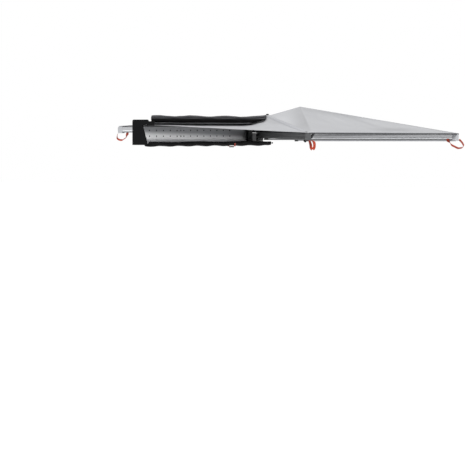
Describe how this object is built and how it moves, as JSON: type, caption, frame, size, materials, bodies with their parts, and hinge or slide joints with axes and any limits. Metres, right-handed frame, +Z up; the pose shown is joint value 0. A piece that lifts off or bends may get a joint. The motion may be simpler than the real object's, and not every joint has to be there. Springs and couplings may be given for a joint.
{
  "type": "vehicle side awning",
  "caption": "Self-supporting fan awning on a roof-rack case: hinged radial arms spread a peaked fabric canopy, with fold-down leg, cover flaps and webbing loops.",
  "frame": {"origin": "centre of the back face of the central rack bracket, which is the vehicle side of the case", "axes": "+X to the rear of the vehicle along the case, +Y inboard over the roof rack, +Z up; the canopy spreads to -Y and +X"},
  "size_m": [3.5774, 3.3734, 0.3721],
  "materials": {
    "silver_aluminium": "satin",
    "dark_metal": "satin",
    "steel": "satin",
    "black_plastic": "matte",
    "grey_plastic": "matte",
    "nylon": "matte",
    "rubber": "matte",
    "canopy_cloth": "matte woven, coated",
    "cover_cloth": "coated cloth, slight sheen",
    "orange_webbing": "woven webbing",
    "black_webbing": "woven webbing"
  },
  "bodies": {
    "case": {"back_plate": "silver_aluminium", "top_rail": "dark_metal", "front_end_wall": "black_plastic", "rack_bracket_front": "dark_metal", "rack_bracket_centre": "dark_metal", "rack_bracket_rear": "dark_metal", "bracket_bolt_front_upper": "steel", "bracket_bolt_front_lower": "steel", "bracket_bolt_centre_upper": "steel", "bracket_bolt_centre_lower": "steel", "bracket_bolt_rear_upper": "steel", "bracket_bolt_rear_lower": "steel", "hub_bottom_plate": "dark_metal", "hub_top_plate": "dark_metal", "hub_spine": "dark_metal", "hub_pin": "steel", "hub_washer_1": "nylon", "hub_washer_2": "nylon", "hub_washer_3": "nylon", "hub_washer_4": "nylon", "hub_washer_5": "nylon", "apex_post": "dark_metal", "anchor_knob_front": "black_plastic", "anchor_knob_rear": "black_plastic", "canopy_panel_1": "canopy_cloth", "upper_flap": "cover_cloth", "lower_flap": "cover_cloth", "cinch_strap": "orange_webbing", "cinch_buckle": "black_plastic", "zip_slider": "black_plastic"},
    "arm_1": {"arm_1_beam": "dark_metal", "arm_1_knuckle": "dark_metal", "arm_1_end_cap": "grey_plastic", "arm_1_loop": "orange_webbing", "arm_1_corner_strap": "black_webbing", "arm_1_buckle": "black_plastic", "canopy_panel_2": "canopy_cloth"},
    "arm_2": {"arm_2_beam": "silver_aluminium", "arm_2_knuckle": "dark_metal", "arm_2_end_cap": "grey_plastic", "arm_2_loop": "orange_webbing", "leg_pivot_pin": "steel", "leg_clip": "black_plastic", "canopy_panel_3": "canopy_cloth"},
    "arm_3": {"arm_3_beam": "silver_aluminium", "arm_3_knuckle": "dark_metal", "arm_3_end_cap": "grey_plastic", "arm_3_loop": "orange_webbing", "canopy_panel_4": "canopy_cloth"},
    "arm_4": {"arm_4_beam": "silver_aluminium", "arm_4_knuckle": "dark_metal", "arm_4_end_cap": "grey_plastic", "arm_4_loop": "orange_webbing"},
    "leg": {"leg_outer_tube": "silver_aluminium"},
    "leg_lock": {"leg_lock_collar": "black_plastic"},
    "leg_inner": {"leg_inner_tube": "silver_aluminium", "leg_foot": "rubber"},
    "boom": {"boom_collar": "black_plastic", "boom_tube": "silver_aluminium", "boom_head": "black_plastic"}
  },
  "joints": [
    {"name": "arm_1_fold", "type": "hinge", "parent": "case", "child": "arm_1", "pos_m": [0.86, -0.0863, 0], "axis": [0, 0, 1], "range_deg": [-47.3, 0], "deforming": ["canopy_panel_1", "canopy_panel_2", "arm_1_loop", "arm_1_corner_strap"]},
    {"name": "arm_2_fold", "type": "hinge", "parent": "arm_1", "child": "arm_2", "pos_m": [0.86, -0.0863, 0], "axis": [0, 0, 1], "range_deg": [-71.2, 0], "deforming": ["canopy_panel_3", "arm_2_loop"]},
    {"name": "arm_3_fold", "type": "hinge", "parent": "arm_2", "child": "arm_3", "pos_m": [0.86, -0.0863, 0.066], "axis": [0, 0, 1], "range_deg": [-71.5, 0], "deforming": ["canopy_panel_4", "arm_3_loop"]},
    {"name": "arm_4_fold", "type": "hinge", "parent": "arm_3", "child": "arm_4", "pos_m": [0.86, -0.0863, 0.066], "axis": [0, 0, 1], "range_deg": [-71, 0], "deforming": ["arm_4_loop"]},
    {"name": "boom_swing", "type": "hinge", "parent": "case", "child": "boom", "pos_m": [0.91, -0.1363, 0.133], "axis": [0, 0, 1], "range_deg": [-75, 0]},
    {"name": "leg_swing", "type": "hinge", "parent": "arm_2", "child": "leg", "pos_m": [1.7021, -1.5954, -0.047], "axis": [-0.8788, -0.4772, 0], "range_deg": [0, 90]},
    {"name": "leg_lock_turn", "type": "hinge", "parent": "leg", "child": "leg_lock", "pos_m": [1.0689, -0.4292, -0.053], "axis": [-0.4772, 0.8788, 0], "range_deg": [0, 90]},
    {"name": "leg_slide", "type": "slide", "parent": "leg", "child": "leg_inner", "axis": [-0.4772, 0.8788, 0], "range_m": [0, 0.22]}
  ]
}
